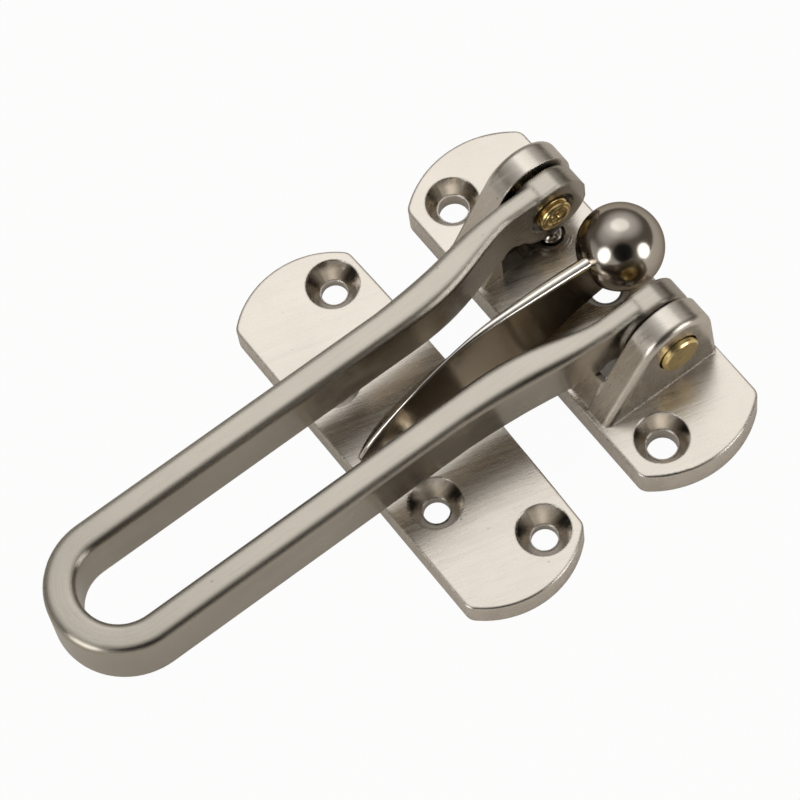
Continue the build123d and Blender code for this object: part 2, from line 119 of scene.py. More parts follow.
class Tree:
    """A node tree whose nodes are added with their inputs and links in one call."""

    def __init__(self, tree: bpy.types.NodeTree) -> None:
        """Keep the tree to build in."""
        self.tree = tree

    def feed(self, target: Socket, value: object) -> None:
        """Give an input a value or a link.

        Args:
            target: the input.
            value: a value, or the output socket to link from.
        """
        if isinstance(value, Socket):
            self.tree.links.new(value, target)
        else:
            target.default_value = value

    def add(self, kind: str, inputs: dict | None = None, **settings: object) -> bpy.types.Node:
        """Add one node.

        Args:
            kind: Blender's name for the node's type.
            inputs: values or output sockets by input name or number.
            **settings: properties of the node.

        Returns:
            The new node.
        """
        node = self.tree.nodes.new(kind)
        for name, value in settings.items():
            setattr(node, name, value)
        for name, value in (inputs or {}).items():
            self.feed(node.inputs[name], value)
        return node

    def math(self, operation: str, *values: object, clamp: bool = False) -> Socket:
        """Add a Math node.

        Args:
            operation: the sum to do.
            *values: numbers or sockets, in order.
            clamp: keep the result between 0 and 1.

        Returns:
            The result's socket.
        """
        inputs = dict(enumerate(values))
        return self.add("ShaderNodeMath", inputs, operation=operation, use_clamp=clamp).outputs[0]

    def vector(self, operation: str, *values: object, out: str = "Vector") -> Socket:
        """Add a Vector Math node.

        Args:
            operation: the sum to do.
            *values: vectors or sockets, in order.
            out: which result is wanted.

        Returns:
            The result's socket.
        """
        node = self.add("ShaderNodeVectorMath", dict(enumerate(values)), operation=operation)
        return node.outputs[out]

    def ramp(self, value: object, low: float, high: float, start: float = 0.0,
             end: float = 1.0) -> Socket:
        """Add a clamped Map Range node.

        Args:
            value: the number to map.
            low: value that gives start.
            high: value that gives end.
            start: result at and before low.
            end: result at and after high.

        Returns:
            The result's socket.
        """
        inputs = {"Value": value, "From Min": low, "From Max": high, "To Min": start,
                  "To Max": end}
        return self.add("ShaderNodeMapRange", inputs, clamp=True).outputs["Result"]

    def noise(self, vector: object, scale: object = 1.0, detail: float = 2.0,
              roughness: float = 0.5) -> Socket:
        """Add a Noise Texture node.

        Args:
            vector: where the noise is read.
            scale: its scale.
            detail: its number of octaves.
            roughness: the strength of each finer octave.

        Returns:
            The noise value's socket.
        """
        inputs = {"Vector": vector, "Scale": scale, "Detail": detail, "Roughness": roughness}
        return self.add("ShaderNodeTexNoise", inputs).outputs["Fac"]

    def blend(self, share: object, first: object, second: object) -> Socket:
        """Add a Mix node for two numbers.

        Args:
            share: how much of the second number is in the result.
            first: number at share 0.
            second: number at share 1.

        Returns:
            The mixed number's socket.
        """
        return self.add("ShaderNodeMix", {0: share, 2: first, 3: second}).outputs[0]

    def mix(self, share: object, first: object, second: object) -> Socket:
        """Add a Mix node for two colours.

        Args:
            share: how much of the second colour is in the result.
            first: colour at share 0.
            second: colour at share 1.

        Returns:
            The mixed colour's socket.
        """
        node = self.add("ShaderNodeMix", data_type="RGBA")
        colours = [socket for socket in node.inputs if socket.type == "RGBA"]
        for socket, value in zip((node.inputs[0], *colours), (share, first, second)):
            self.feed(socket, value)
        return next(socket for socket in node.outputs if socket.type == "RGBA")


def new_group(name: str, family: Family, inputs: dict[str, tuple[Kind, object]],
              outputs: dict[str, Kind]) -> Tree:
    """Make an empty node group with its sockets.

    Args:
        name: the group's name.
        family: what the group is for.
        inputs: kind and default value of each input; None leaves Blender's own default.
        outputs: kind of each output.

    Returns:
        The group, ready to be filled.
    """
    group = bpy.data.node_groups.new(name, family.value)
    for label, (kind, default) in inputs.items():
        socket = group.interface.new_socket(label, in_out="INPUT", socket_type=kind.value)
        if default is not None:
            socket.default_value = default
    for label, kind in outputs.items():
        group.interface.new_socket(label, in_out="OUTPUT", socket_type=kind.value)
    return Tree(group)


def blank_material(name: str) -> tuple[bpy.types.Material, Tree]:
    """Start a material that has no nodes yet.

    Args:
        name: what it is called.

    Returns:
        The material and its tree.
    """
    material = bpy.data.materials.new(name)
    material.use_nodes = True
    material.node_tree.nodes.clear()
    return material, Tree(material.node_tree)


def put(name: str, data: bpy.types.ID) -> bpy.types.Object:
    """Add an object to the scene.

    Args:
        name: the object's name.
        data: its mesh, lamp or camera.

    Returns:
        The object, at the origin.
    """
    thing = bpy.data.objects.new(name, data)
    bpy.context.scene.collection.objects.link(thing)
    return thing


class GroupKit:
    """The shader node groups that several finishes share, each built once."""

    FINE_DETAIL, FINE_ROUGHNESS = 3.0, 0.6
    BROAD_STRETCH = (0.35, 0.28, 0.28)
    BROAD_SHARE = 0.12
    SCRATCH_STRETCH = (1.6, 0.5, 0.5)
    SCRATCH_SPAN = (0.68, 0.74)
    SCRATCH_DEPTH = 0.5
    PIT_SIZE = 0.16
    PIT_EDGE = (0.0, 0.05)
    EDGE_SAMPLES = 4
    EDGE_SPAN = (0.995, 0.93)
    PATCH_SCALE = 500.0
    PATCH_SPAN = (0.3, 0.6)
    PATCH_LEVELS = (0.7, 1.0)
    GAP_SAMPLES = 6
    GAP_SPAN = (0.45, 0.05)
    RING_ROUGHNESS = 0.7

    def __init__(self) -> None:
        """Build the groups."""
        self.grain = self._build("brushed_grain", self._grain, {
            "Vector": (Kind.VECTOR, None), "Stretch": (Kind.VECTOR, (150.0, 5200.0, 800.0)),
            "Depth": (Kind.NUMBER, 1.0)}, {"Height": Kind.NUMBER, "Streaks": Kind.NUMBER})
        self.pits = self._build("casting_pits", self._pits, {
            "Vector": (Kind.VECTOR, None), "Density": (Kind.NUMBER, 760.0),
            "Amount": (Kind.NUMBER, 0.13)}, {"Mask": Kind.NUMBER})
        self.wear_and_highlight = self._build("edge_wear_and_highlight", self._wear_and_highlight, {
            "Vector": (Kind.VECTOR, None), "Width": (Kind.NUMBER, 0.4 * MM)},
            {"Mask": Kind.NUMBER, "Normal": Kind.VECTOR})
        # This group paints shade into narrow gaps.
        self.gap_shade = self._build("painted_crevice_shade", self._painted_gap_shade, {
            "Reach": (Kind.NUMBER, 3.0 * MM)}, {"Mask": Kind.NUMBER})
        self.rings = self._build("turned_rings", self._rings, {
            "Vector": (Kind.VECTOR, None), "Pitch": (Kind.NUMBER, 9000.0)},
            {"Height": Kind.NUMBER, "Radius": Kind.NUMBER})

    def _build(self, name: str, fill: Callable[[Tree, Sockets], dict[str, Socket]],
               inputs: dict[str, tuple[Kind, object]],
               outputs: dict[str, Kind]) -> bpy.types.NodeTree:
        """Make one group and fill it.

        Args:
            name: the group's name.
            fill: method that adds its nodes and returns its output sockets by name.
            inputs: kind and default value of each input.
            outputs: kind of each output.

        Returns:
            The group.
        """
        tree = new_group(name, Family.SHADER, inputs, outputs)
        given = tree.add("NodeGroupInput").outputs
        tree.add("NodeGroupOutput", fill(tree, given))
        return tree.tree

    def _grain(self, tree: Tree, given: Sockets) -> dict[str, Socket]:
        """Fine parallel brush lines with a few deeper scratches.

        Args:
            tree: the group to fill.
            given: the group's inputs.

        Returns:
            The relief and the broad streaks.
        """
        along = tree.vector("MULTIPLY", given["Vector"], given["Stretch"])
        fine = tree.noise(along, detail=self.FINE_DETAIL, roughness=self.FINE_ROUGHNESS)
        broad = tree.noise(tree.vector("MULTIPLY", along, self.BROAD_STRETCH))
        marks = tree.noise(tree.vector("MULTIPLY", along, self.SCRATCH_STRETCH), detail=0.0)
        scratch = tree.ramp(marks, *self.SCRATCH_SPAN)
        height = tree.math("MULTIPLY_ADD", broad, self.BROAD_SHARE, fine)
        height = tree.math("SUBTRACT", height,
                           tree.math("MULTIPLY", scratch, self.SCRATCH_DEPTH))
        return {"Height": tree.math("MULTIPLY", height, given["Depth"]), "Streaks": broad}

    def _pits(self, tree: Tree, given: Sockets) -> dict[str, Socket]:
        """Tiny scattered pits of different sizes.

        Args:
            tree: the group to fill.
            given: the group's inputs.

        Returns:
            The mask of the pits.
        """
        cells = tree.add("ShaderNodeTexVoronoi", {
            "Vector": given["Vector"], "Scale": given["Density"]}, feature="F1")
        chance = tree.add("ShaderNodeSeparateColor", {"Color": cells.outputs["Color"]}).outputs
        size = tree.math("MULTIPLY", chance["Red"], self.PIT_SIZE)
        inside = tree.ramp(tree.math("SUBTRACT", size, cells.outputs["Distance"]),
                           *self.PIT_EDGE)
        kept = tree.math("LESS_THAN", chance["Green"], given["Amount"])
        return {"Mask": tree.math("MULTIPLY", inside, kept)}

    def _wear_and_highlight(self, tree: Tree, given: Sockets) -> dict[str, Socket]:
        """Rubbed edges with a painted edge highlight, and the soft normal over them.

        Args:
            tree: the group to fill.
            given: the group's inputs.

        Returns:
            The mask of the edges and the normal.
        """
        soft = tree.add("ShaderNodeBevel", {"Radius": given["Width"]}, samples=self.EDGE_SAMPLES)
        normal = tree.add("ShaderNodeNewGeometry").outputs["Normal"]
        turn = tree.vector("DOT_PRODUCT", soft.outputs["Normal"], normal, out="Value")
        edge = tree.ramp(turn, *self.EDGE_SPAN)
        patchy = tree.ramp(tree.noise(given["Vector"], self.PATCH_SCALE), *self.PATCH_SPAN,
                           *self.PATCH_LEVELS)
        return {"Mask": tree.math("MULTIPLY", edge, patchy), "Normal": soft.outputs["Normal"]}

    def _painted_gap_shade(self, tree: Tree, given: Sockets) -> dict[str, Socket]:
        """Painted shade in narrow gaps: darker where less light can reach them.

        Args:
            tree: the group to fill.
            given: the group's inputs.

        Returns:
            The mask of the gaps.
        """
        room = tree.add("ShaderNodeAmbientOcclusion", {"Distance": given["Reach"]},
                        samples=self.GAP_SAMPLES)
        return {"Mask": tree.ramp(room.outputs["AO"], *self.GAP_SPAN)}

    def _rings(self, tree: Tree, given: Sockets) -> dict[str, Socket]:
        """Rings that a lathe tool leaves round the Z axis of the coordinates.

        Args:
            tree: the group to fill.
            given: the group's inputs.

        Returns:
            The relief and the distance from the axis.
        """
        flat = tree.vector("MULTIPLY", given["Vector"], (1.0, 1.0, 0.0))
        radius = tree.vector("LENGTH", flat, out="Value")
        place = tree.add("ShaderNodeSeparateXYZ", {"Vector": given["Vector"]}).outputs
        line = tree.add("ShaderNodeCombineXYZ", {"X": tree.math("ADD", radius, place["Z"])})
        height = tree.noise(line.outputs["Vector"], given["Pitch"],
                            roughness=self.RING_ROUGHNESS)
        return {"Height": height, "Radius": radius}


class Finish:
    """The parts of a material that every metal finish here has."""

    # How far the gloss spreads across the brush lines, and the small direction that stands in
    # for them on faces that look along them.
    SPREAD = 0.5
    FALLBACK = (0.0, 0.0, 0.01)

    def __init__(self, slot: Slot, groups: GroupKit) -> None:
        """Start the material.

        Args:
            slot: the record's slot that the finish stands for.
            groups: the shared node groups.
        """
        self.groups = groups
        self.material, self.tree = blank_material(f"{slot.value}_finish")
        self.place = self.tree.add("ShaderNodeTexCoord").outputs["Object"]

    def group(self, group: bpy.types.NodeTree, inputs: dict) -> Sockets:
        """Place a shared group with its inputs and give its outputs."""
        return self.tree.add("ShaderNodeGroup", inputs, node_tree=group).outputs

    def metal(self, colour: object, roughness: object, height: object, relief: float,
              normal: object = None, line: object = None,
              rim: Colour | None = None) -> bpy.types.Material:
        """Close the material with a metal shader.

        Args:
            colour: base colour or its socket.
            roughness: roughness or its socket.
            height: socket of the surface's relief.
            relief: depth of the relief in metres.
            normal: socket of a normal that the relief stands on.
            line: socket of the brush lines' direction, across which gloss spreads.
            rim: tint of the gloss on faces seen edge on.

        Returns:
            The finished material.
        """
        bump_inputs = {"Height": height, "Distance": relief, "Strength": 1.0}
        if normal is not None:
            bump_inputs["Normal"] = normal
        bump = self.tree.add("ShaderNodeBump", bump_inputs)
        inputs = {"Base Color": colour, "Roughness": roughness, "Metallic": 1.0,
                  "Normal": bump.outputs["Normal"]}
        if line is not None:
            facing = self.tree.add("ShaderNodeNewGeometry").outputs["Normal"]
            across = self.tree.vector("CROSS_PRODUCT", facing, line)
            across = self.tree.vector("NORMALIZE", across)
            inputs["Anisotropic"] = self.SPREAD
            inputs["Tangent"] = self.tree.vector("ADD", across, self.FALLBACK)
        if rim is not None:
            inputs["Specular Tint"] = rim
        shader = self.tree.add("ShaderNodeBsdfPrincipled", inputs)
        self.tree.add("ShaderNodeOutputMaterial", {"Surface": shader.outputs["BSDF"]})
        return self.material


@dataclass(frozen=True)
class SatinNickel:
    """Satin nickel with brush lines, turned screw seats, rubbed edges with a painted highlight,
    and painted shade in narrow gaps.
    """

    colour: Colour = (0.70, 0.645, 0.57, 1.0)
    pit_colour: Colour = (0.30, 0.26, 0.21, 1.0)
    # Painted highlight as well as wear: a lighter colour laid along the edges.
    worn_and_highlight_colour: Colour = (0.82, 0.78, 0.72, 1.0)
    # Painted shade: the near-black colour laid into narrow gaps.
    gap_shade_colour: Colour = (0.05, 0.04, 0.03, 1.0)
    darkest: float = 0.9
    brightest: float = 1.08
    streak_tone: float = 0.07
    cloud_tone: float = 0.03
    cloud_scale: float = 120.0
    cloud_detail: float = 3.0
    roughness: Span = (0.22, 0.32)
    rough_span: Span = (0.25, 0.75)
    relief: float = 0.007 * MM
    pit_share: float = 0.6
    pit_depth: float = 1.2
    gap_shade_share: float = 0.9
    edge_width: float = 0.4 * MM
    edge_wear_and_highlight: float = 0.7
    brush_turn: float = math.radians(16.0)
    loop_centre: float | None = None
    loop_radius: float = 9.5 * MM
    arm_shift: float = 40.0 * MM
    seats: tuple[Span, ...] = ()
    seat_radius: float = 4.6 * MM
    seat_pitch: float = 5200.0
    seat_level: float = 0.97
    seat_gloss: float = 0.12

    def _straight(self, finish: Finish) -> tuple[Socket, Socket]:
        """Brush lines that run straight across a plate.

        Args:
            finish: the material to build in.

        Returns:
            Coordinates turned to the lines, and the lines' direction.
        """
        tree = finish.tree
        turned = tree.add("ShaderNodeMapping", {
            "Vector": finish.place, "Rotation": (0.0, 0.0, self.brush_turn)})
        line = tree.add("ShaderNodeCombineXYZ", {
            "X": math.cos(self.brush_turn), "Y": -math.sin(self.brush_turn)})
        return turned.outputs["Vector"], line.outputs["Vector"]

    def _round_loop(self, finish: Finish) -> tuple[Socket, Socket]:
        """Brush lines that follow the bar's arms and its loop.

        Args:
            finish: the material to build in.

        Returns:
            Coordinates that follow the bar, and the lines' direction.
        """
        tree = finish.tree
        moved = tree.vector("SUBTRACT", finish.place, (self.loop_centre, 0.0, 0.0))
        axes = tree.add("ShaderNodeSeparateXYZ", {"Vector": moved}).outputs
        flat = tree.vector("MULTIPLY", moved, (1.0, 1.0, 0.0))
        radius = tree.vector("LENGTH", flat, out="Value")
        side = tree.math("ABSOLUTE", axes["Y"])
        turn = tree.math("ARCTAN2", axes["X"], side)
        arc = tree.math("MULTIPLY", turn, self.loop_radius)
        on_loop = tree.math("LESS_THAN", axes["X"], 0.0)
        along = tree.blend(on_loop, axes["X"], arc)
        across = tree.blend(on_loop, side, radius)
        mirror = tree.math("SIGN", axes["Y"])
        path = tree.add("ShaderNodeCombineXYZ", {
            "X": tree.math("MULTIPLY_ADD", mirror, self.arm_shift, along), "Y": across,
            "Z": axes["Z"]})
        inner = tree.math("MINIMUM", axes["X"], 0.0)
        line = tree.add("ShaderNodeCombineXYZ", {
            "X": axes["Y"], "Y": tree.math("MULTIPLY", inner, -1.0)})
        return path.outputs["Vector"], line.outputs["Vector"]

    def _seats(self, finish: Finish) -> tuple[Socket, Socket]:
        """The turned seats of the screws, mirrored at Y = 0.

        Args:
            finish: the material to build in.

        Returns:
            The seats' mask and the relief of their rings.
        """
        tree = finish.tree
        axes = tree.add("ShaderNodeSeparateXYZ", {"Vector": finish.place}).outputs
        side = tree.math("ABSOLUTE", axes["Y"])
        half = tree.add("ShaderNodeCombineXYZ", {"X": axes["X"], "Y": side, "Z": axes["Z"]})
        facing = tree.add("ShaderNodeNewGeometry").outputs["True Normal"]
        up = tree.add("ShaderNodeSeparateXYZ", {"Vector": facing}).outputs["Z"]
        sloping = tree.math("LESS_THAN", up, self.seat_level)
        mask: object = 0.0
        relief: object = 0.0
        for x, y in self.seats:
            local = tree.vector("SUBTRACT", half.outputs["Vector"], (x, y, 0.0))
            rings = finish.group(finish.groups.rings, {
                "Vector": local, "Pitch": self.seat_pitch})
            inside = tree.math("LESS_THAN", rings["Radius"], self.seat_radius)
            inside = tree.math("MULTIPLY", inside, sloping)
            mask = tree.math("MAXIMUM", mask, inside)
            relief = tree.math("MULTIPLY_ADD", inside, rings["Height"], relief)
        return mask, relief

    def _colour(self, finish: Finish, streaks: Socket, pits: Socket, wear_and_highlight: Socket) -> Socket:
        """The metal's colour, cloudy and streaked, with worn edges that also carry a painted
        highlight, pits, and painted shade in narrow gaps.

        Args:
            finish: the material to build in.
            streaks: the broad streaks of the brush lines.
            pits: the mask of the pits.
            wear_and_highlight: the mask of the rubbed edges, where a highlight is also painted.

        Returns:
            The colour's socket.
        """
        tree = finish.tree
        cloud = tree.noise(finish.place, self.cloud_scale, self.cloud_detail)
        tone = tree.math(
            "ADD", tree.ramp(streaks, *NOISE_SPAN, -self.streak_tone, self.streak_tone),
            tree.ramp(cloud, *NOISE_SPAN, -self.cloud_tone, self.cloud_tone))
        reach = self.streak_tone + self.cloud_tone
        colour = tree.mix(tree.ramp(tone, -reach, reach), scaled(self.colour, self.darkest),
                          scaled(self.colour, self.brightest))
        # Painted shade: narrow gaps are darkened towards near black.
        gap_shade = finish.group(finish.groups.gap_shade, {})["Mask"]
        # The rubbed edges' lighter colour is also a painted edge highlight.
        for mask, share, other in ((wear_and_highlight, self.edge_wear_and_highlight, self.worn_and_highlight_colour),
                                   (pits, self.pit_share, self.pit_colour),
                                   (gap_shade, self.gap_shade_share, self.gap_shade_colour)):
            colour = tree.mix(tree.math("MULTIPLY", mask, share), colour, other)
        return colour

    def build(self, groups: GroupKit, name: str) -> bpy.types.Material:
        """Make the material.

        Args:
            groups: the shared node groups.
            name: what the material is called.

        Returns:
            The material.
        """
        finish = Finish(Slot.SATIN, groups)
        finish.material.name = name
        tree = finish.tree
        lines = self._straight if self.loop_centre is None else self._round_loop
        path, line = lines(finish)
        grain = finish.group(groups.grain, {"Vector": path})
        pits = finish.group(groups.pits, {"Vector": finish.place})["Mask"]
        # Edge mask for wear and for a painted edge highlight.
        wear_and_highlight = finish.group(groups.wear_and_highlight, {"Vector": finish.place, "Width": self.edge_width})
        colour = self._colour(finish, grain["Streaks"], pits, wear_and_highlight["Mask"])
        rough = tree.ramp(grain["Streaks"], *self.rough_span, *self.roughness)
        height = tree.math("SUBTRACT", grain["Height"],
                           tree.math("MULTIPLY", pits, self.pit_depth))
        if self.seats:
            seat, rings = self._seats(finish)
            rough = tree.math("MULTIPLY_ADD", seat, -self.seat_gloss, rough)
            height = tree.math("MULTIPLY_ADD", height, tree.math("SUBTRACT", 1.0, seat), rings)
        return finish.metal(colour, rough, height, self.relief, wear_and_highlight["Normal"], line)


@dataclass(frozen=True)
class PolishedNickel:
    """Polished nickel: a bright ball on a horn, with painted shade on the horn's sides and a
    painted highlight along its top.
    """

    ball: Point
    ball_radius: float
    colour: Colour = (0.60, 0.55, 0.485, 1.0)
    # Painted shade and highlight: a dark colour for faces that look sideways, a light one for
    # faces that look up.
    shaded_side: Colour = (0.36, 0.305, 0.23, 1.0)
    lit_top: Colour = (0.86, 0.82, 0.76, 1.0)
    lit_top_span: Span = (0.38, 0.62)
    pit_colour: Colour = (0.3, 0.27, 0.24, 1.0)
    pit_density: float = 520.0
    pit_amount: float = 0.25
    pit_share: float = 0.5
    rim: Colour = (0.5, 0.46, 0.42, 1.0)
    roughness: Span = (0.14, 0.22)
    smear_span: Span = (0.3, 0.75)
    smear_scale: float = 260.0
    smear_detail: float = 3.0
    grain_stretch: Point = (260.0, 2600.0, 2600.0)
    grain_depth: float = 0.5
    relief: float = 0.002 * MM

    def _colour(self, tree: Tree, place: Socket) -> Socket:
        """Painted light by how far up a face looks, lighter on top and darker on the sides, and
        the ball's own colour round the ball.

        Args:
            tree: the material's tree.
            place: the object coordinates.

        Returns:
            The colour's socket.
        """
        normal = tree.add("ShaderNodeNewGeometry").outputs["Normal"]
        up = tree.add("ShaderNodeSeparateXYZ", {"Vector": normal}).outputs["Z"]
        # Painted light: the colour follows which way each face looks.
        horn = tree.mix(tree.ramp(up, *self.lit_top_span), self.shaded_side, self.lit_top)
        reach = tree.vector("DISTANCE", place, self.ball, out="Value")
        on_ball = tree.math("LESS_THAN", reach, self.ball_radius)
        return tree.mix(on_ball, horn, self.colour)

    def build(self, groups: GroupKit) -> bpy.types.Material:
        """Make the material.

        Args:
            groups: the shared node groups.

        Returns:
            The material.
        """
        finish = Finish(Slot.POLISHED, groups)
        tree = finish.tree
        grain = finish.group(groups.grain, {
            "Vector": finish.place, "Stretch": self.grain_stretch})
        pits = finish.group(groups.pits, {
            "Vector": finish.place, "Density": self.pit_density,
            "Amount": self.pit_amount})["Mask"]
        smear = tree.noise(finish.place, self.smear_scale, self.smear_detail)
        colour = tree.mix(tree.math("MULTIPLY", pits, self.pit_share),
                          self._colour(tree, finish.place), self.pit_colour)
        rough = tree.ramp(smear, *self.smear_span, *self.roughness)
        height = tree.math("SUBTRACT",
                           tree.math("MULTIPLY", grain["Height"], self.grain_depth), pits)
        return finish.metal(colour, rough, height, self.relief, rim=self.rim)


@dataclass(frozen=True)
class TurnedMetal:
    """A metal that was turned on a lathe: rings round its own axis, dull or bright."""

    slot: Slot
    colour: Colour
    tarnish: Colour
    centre: Point
    lies_along_y: bool = False
    roughness: Span = (0.2, 0.34)
    relief: float = 0.005 * MM
    ring_pitch: float = 6500.0
    pit_density: float = 1900.0
    pit_amount: float = 0.55
    pit_share: float = 0.6
    spot_scale: float = 700.0
    spot_detail: float = 4.0
    spot_roughness: float = 0.6
    spot_span: Span = (0.45, 0.72)
    spot_share: float = 0.45

    def build(self, groups: GroupKit) -> bpy.types.Material:
        """Make the material.

        Args:
            groups: the shared node groups.

        Returns:
            The material.
        """
        finish = Finish(self.slot, groups)
        tree = finish.tree
        local = tree.vector("SUBTRACT", finish.place, self.centre)
        if self.lies_along_y:
            local = tree.add("ShaderNodeVectorRotate", {"Vector": local, "Angle": math.pi / 2},
                             rotation_type="X_AXIS").outputs["Vector"]
        rings = finish.group(groups.rings, {"Vector": local, "Pitch": self.ring_pitch})
        pits = finish.group(groups.pits, {
            "Vector": finish.place, "Density": self.pit_density,
            "Amount": self.pit_amount})["Mask"]
        cloud = tree.noise(finish.place, self.spot_scale, self.spot_detail, self.spot_roughness)
        spots = tree.ramp(cloud, *self.spot_span)
        dull = tree.math("ADD", tree.math("MULTIPLY", spots, self.spot_share),
                         tree.math("MULTIPLY", pits, self.pit_share), clamp=True)
        colour = tree.mix(dull, self.colour, self.tarnish)
        rough = tree.ramp(rings["Height"], *NOISE_SPAN, *self.roughness)
        height = tree.math("SUBTRACT", rings["Height"], pits)
        return finish.metal(colour, rough, height, self.relief)


@dataclass(frozen=True)
class SpringWire:
    """Drawn spring wire with fine lines along the wire."""

    colour: Colour = (0.45, 0.44, 0.42, 1.0)
    stretch: Point = (900.0, 900.0, 9000.0)
    roughness: Span = (0.25, 0.4)
    relief: float = 0.002 * MM

    def build(self, groups: GroupKit) -> bpy.types.Material:
        """Make the material.

        Args:
            groups: the shared node groups.

        Returns:
            The material.
        """
        finish = Finish(Slot.SPRING, groups)
        grain = finish.group(groups.grain, {"Vector": finish.place, "Stretch": self.stretch})
        rough = finish.tree.ramp(grain["Streaks"], *NOISE_SPAN, *self.roughness)
        return finish.metal(self.colour, rough, grain["Height"], self.relief)


def dress(node: str, material: bpy.types.Material) -> None:
    """Give a CAD node its finish.

    Args:
        node: the CAD node's name.
        material: the finish.
    """
    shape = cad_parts[node]
    for slot in shape.material_slots:
        slot.material = material
    low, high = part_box(node)
    sizes = ", ".join(f"{(b - a) / MM:.1f}" for a, b in zip(low, high))
    LOG.info("%s: %s mm, %s", node, sizes, material.name)


def middle(node: str) -> Vector:
    """The middle of a CAD node's box."""
    low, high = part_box(node)
    return (low + high) / 2


def smooth(mesh: bpy.types.Mesh) -> None:
    """Shade a mesh's faces smooth."""
    for face in mesh.polygons:
        face.use_smooth = True


@dataclass
class SwingBar:
    """The U-shaped bar."""

    half_width: float = 12.15 * MM

    def build(self, groups: GroupKit) -> None:
        """Dress the bar with brush lines that follow it round its loop.

        Args:
            groups: the shared node groups.
        """
        low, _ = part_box("swing_bar")
        finish = SatinNickel(loop_centre=low.x + self.half_width, roughness=(0.2, 0.29),
                             colour=(0.47, 0.432, 0.37, 1.0), edge_width=1.1 * MM,
                             edge_wear_and_highlight=0.12)
        dress("swing_bar", finish.build(groups, "bar_satin_nickel"))


@dataclass
class StrikeHalf:
    """The strike plate and its horn with the ball; insets are from the plate's back edge."""

    outer_inset: float = 5.6 * MM
    outer_side: float = 28.0 * MM
    inner_inset: float = 16.1 * MM
    inner_side: float = 13.6 * MM
    ball_radius: float = 7.2 * MM
    ball_margin: float = 0.1 * MM

    def build(self, groups: GroupKit) -> None:
        """Dress the plate and the horn.

        Args:
            groups: the shared node groups.
        """
        _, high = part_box("strike_plate")
        seats = ((high.x - self.outer_inset, self.outer_side),
                 (high.x - self.inner_inset, self.inner_side))
        dress("strike_plate", SatinNickel(seats=seats).build(groups, "strike_satin_nickel"))
        _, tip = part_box("ball_horn")
        ball = (tip.x - self.ball_radius, 0.0, tip.z - self.ball_radius)
        finish = PolishedNickel(ball, self.ball_radius + self.ball_margin)
        dress("ball_horn", finish.build(groups))


def coil_tree() -> bpy.types.NodeTree:
    """Build the geometry tree that coils a wire at each point of its input mesh.

    Returns:
        The tree.
    """
    tree = new_group("coil_springs", Family.GEOMETRY, {
        "Geometry": (Kind.GEOMETRY, None), "Turns": (Kind.NUMBER, None),
        "Radius": (Kind.NUMBER, None), "Height": (Kind.NUMBER, None),
        "Wire": (Kind.NUMBER, None), "Turn Points": (Kind.WHOLE, None),
        "Wire Points": (Kind.WHOLE, None), "Material": (Kind.MATERIAL, None)},
        {"Geometry": Kind.GEOMETRY})
    given = tree.add("NodeGroupInput").outputs
    coil = tree.add("GeometryNodeCurveSpiral", {
        "Resolution": given["Turn Points"], "Rotations": given["Turns"],
        "Start Radius": given["Radius"], "End Radius": given["Radius"],
        "Height": given["Height"]})
    section = tree.add("GeometryNodeCurvePrimitiveCircle", {
        "Resolution": given["Wire Points"], "Radius": given["Wire"]}, mode="RADIUS")
    wire = tree.add("GeometryNodeCurveToMesh", {
        "Curve": coil.outputs["Curve"], "Profile Curve": section.outputs["Curve"],
        "Fill Caps": True})
    placed = tree.add("GeometryNodeInstanceOnPoints", {
        "Points": given["Geometry"], "Instance": wire.outputs["Mesh"]})
    real = tree.add("GeometryNodeRealizeInstances", {"Geometry": placed.outputs["Instances"]})
    painted = tree.add("GeometryNodeSetMaterial", {
        "Geometry": real.outputs["Geometry"], "Material": given["Material"]})
    tree.add("NodeGroupOutput", {"Geometry": painted.outputs["Geometry"]})
    return tree.tree


@dataclass
class DetentSpring:
    """The coil spring under one plunger, built at one fixed length though the real spring
    shortens as the plunger sinks.
    """

    side: Side
    coil: bpy.types.NodeTree
    finish: bpy.types.Material
    travel: float = 0.8 * MM
    turns: float = 2.5
    wire: float = 0.35 * MM
    points_per_turn: int = 28
    round_points: int = 10

    def _mesh(self, foot: Point, low: Vector, high: Vector) -> bpy.types.Mesh:
        """Let the geometry tree coil the wire.

        Args:
            foot: middle of the coil's lower end.
            low: lower corner of the CAD spring's box.
            high: its upper corner.

        Returns:
            The coil as a plain mesh.
        """
        seed = bpy.data.meshes.new("spring_foot")
        seed.from_pydata([foot], [], [])
        holder = put("spring_holder", seed)
        modifier = holder.modifiers.new("coils", "NODES")
        modifier.node_group = self.coil
        values = {"Turns": self.turns, "Radius": (high.x - low.x - self.wire) / 2,
                  "Height": high.z - low.z - self.wire, "Wire": self.wire / 2,
                  "Turn Points": self.points_per_turn, "Wire Points": self.round_points,
                  "Material": self.finish}
        for item in self.coil.interface.items_tree:
            if item.in_out == "INPUT" and item.name in values:
                modifier[item.identifier] = values[item.name]
        graph = bpy.context.evaluated_depsgraph_get()
        mesh = bpy.data.meshes.new_from_object(holder.evaluated_get(graph))
        bpy.data.objects.remove(holder)
        smooth(mesh)
        return mesh

    def build(self) -> None:
        """Make the spring in the place of its CAD node."""
        node = f"detent_spring_{self.side.label}"
        low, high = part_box(node)
        centre = middle(node)
        mesh = self._mesh((centre.x, centre.y, low.z + self.wire / 2), low, high)
        spring = put(f"coil_{self.side.label}", mesh)
        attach(spring, "base")
        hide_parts(node)
        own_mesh(spring)
        LOG.info("%s: %d faces", spring.name, len(mesh.polygons))


